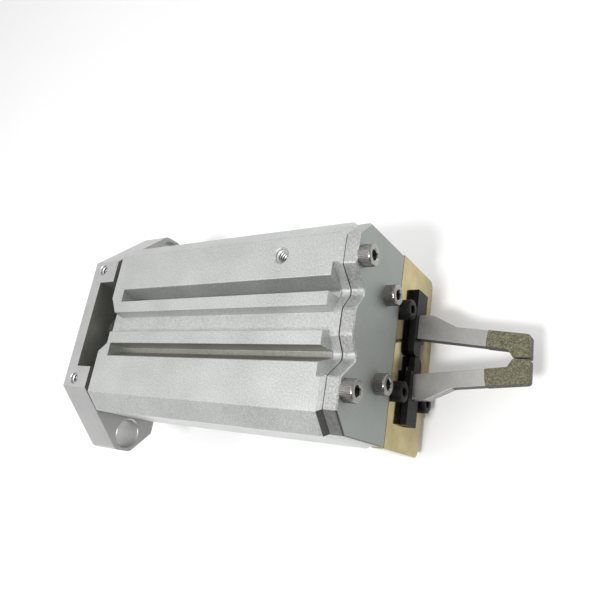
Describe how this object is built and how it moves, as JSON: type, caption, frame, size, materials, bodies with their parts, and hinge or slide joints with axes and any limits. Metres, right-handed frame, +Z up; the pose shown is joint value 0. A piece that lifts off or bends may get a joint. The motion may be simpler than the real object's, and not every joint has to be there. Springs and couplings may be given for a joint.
{
  "type": "pneumatic gripper",
  "caption": "Parallel-jaw pneumatic gripper: grooved aluminium cylinder body, eared rear mounting flange, brass guide plate and slim steel fingers with grit-coated tips.",
  "frame": {"origin": "centre of the rear mounting face, on the cylinder axis", "axes": "+X forward out of the cylinder towards the finger tips, +Z up out of the grooved face, +Y to the side of the air port; the jaws move along Y"},
  "size_m": [0.1661, 0.0944, 0.0648],
  "materials": {
    "anodised": "bead blasted, clear anodised, fine sparkle",
    "cover_grey": "satin, bead blasted edge",
    "machined_aluminium": "satin machined",
    "inner_aluminium": "turned",
    "stainless": "turned and knurled",
    "steel_small": "plain",
    "ground_steel": "fine ground",
    "hard_steel": "hardened and ground",
    "spring_steel": "drawn wire",
    "black_oxide": "black oxide, oiled",
    "polished_brass": "polished",
    "bronze": "sintered",
    "diamond_grit": "plated grit, sparkling",
    "black_rubber": "matt",
    "magnet": "matt",
    "guide_plastic": "matt"
  },
  "bodies": {
    "gripper_body": {"body_block": "anodised", "rear_cap": "anodised", "cap_seal": "black_rubber", "front_cover": "cover_grey", "cover_gasket": "black_rubber", "cover_screws": "stainless", "guide_plate": "polished_brass", "guide_screws": "black_oxide", "jaw_housing": "machined_aluminium", "housing_screws": "stainless", "housing_dowels": "steel_small", "mounting_flange": "machined_aluminium", "flange_bolts": "stainless", "flange_spacers": "steel_small", "vent_plug": "stainless", "rod_gland": "inner_aluminium", "gland_seal": "black_rubber", "rod_bush": "bronze", "rod_seal": "black_rubber", "gland_ring": "spring_steel", "bumper": "black_rubber", "return_spring": "spring_steel"},
    "piston_unit": {"piston": "inner_aluminium", "piston_seal": "black_rubber", "magnet_ring": "magnet", "wear_ring": "guide_plastic", "piston_rod": "hard_steel", "piston_nut": "hard_steel", "arm_nut": "hard_steel", "drive_arm": "hard_steel", "cam_plate": "hard_steel", "cam_screws": "stainless"},
    "jaw_left": {"jaw_slide_left": "hard_steel", "cam_pin_left": "hard_steel", "jaw_foot_left": "black_oxide", "finger_left": "ground_steel", "grit_tip_left": "diamond_grit", "finger_screws_left": "steel_small"},
    "jaw_right": {"jaw_slide_right": "hard_steel", "cam_pin_right": "hard_steel", "jaw_foot_right": "black_oxide", "finger_right": "ground_steel", "grit_tip_right": "diamond_grit", "finger_screws_right": "steel_small"}
  },
  "joints": [
    {"name": "piston_slide", "type": "slide", "parent": "gripper_body", "child": "piston_unit", "axis": [-1, 0, 0], "range_m": [0, 0.0125], "stiffness_N_per_m": 4700, "deforming": ["return_spring"]},
    {"name": "jaw_left_slide", "type": "slide", "parent": "gripper_body", "child": "jaw_left", "axis": [0, 1, 0], "range_m": [0, 0.005]},
    {"name": "jaw_right_slide", "type": "slide", "parent": "gripper_body", "child": "jaw_right", "axis": [0, -1, 0], "range_m": [0, 0.005]}
  ],
  "couplings": [
    {"joint": "jaw_left_slide", "follows": "piston_slide", "ratio": 0.4},
    {"joint": "jaw_right_slide", "follows": "piston_slide", "ratio": 0.4}
  ]
}
